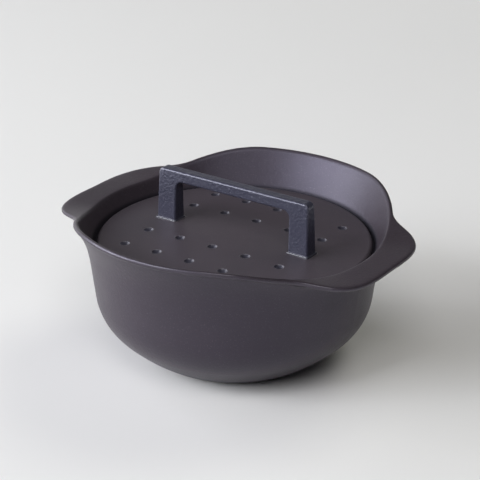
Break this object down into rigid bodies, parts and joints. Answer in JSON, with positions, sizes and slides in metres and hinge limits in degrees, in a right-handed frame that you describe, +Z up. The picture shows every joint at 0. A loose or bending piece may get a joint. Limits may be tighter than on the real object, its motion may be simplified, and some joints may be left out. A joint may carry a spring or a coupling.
{
  "type": "pot",
  "caption": "Round enamelled cast iron pot with flat wing handles, raised curved walls, and a sunk domed lid with a bar handle.",
  "frame": {"origin": "centre of the foot ring, on the surface that the pot stands on", "axes": "+X through the two flat wings, +Y through the two raised walls, +Z up"},
  "size_m": [0.2768, 0.2538, 0.1387],
  "materials": {
    "pot_enamel": "satin dark grey enamel over a fine cast grain",
    "lid_enamel": "matte dark grey enamel",
    "handle_finish": "bluish dark grey enamel over a pebbled cast grain",
    "screw_steel": "plain stainless steel",
    "washer_steel": "plain stainless steel"
  },
  "bodies": {
    "root": {"pot": "pot_enamel", "lid": "lid_enamel", "lid_handle": "handle_finish", "handle_screws": "screw_steel", "handle_washers": "washer_steel"}
  },
  "joints": []
}
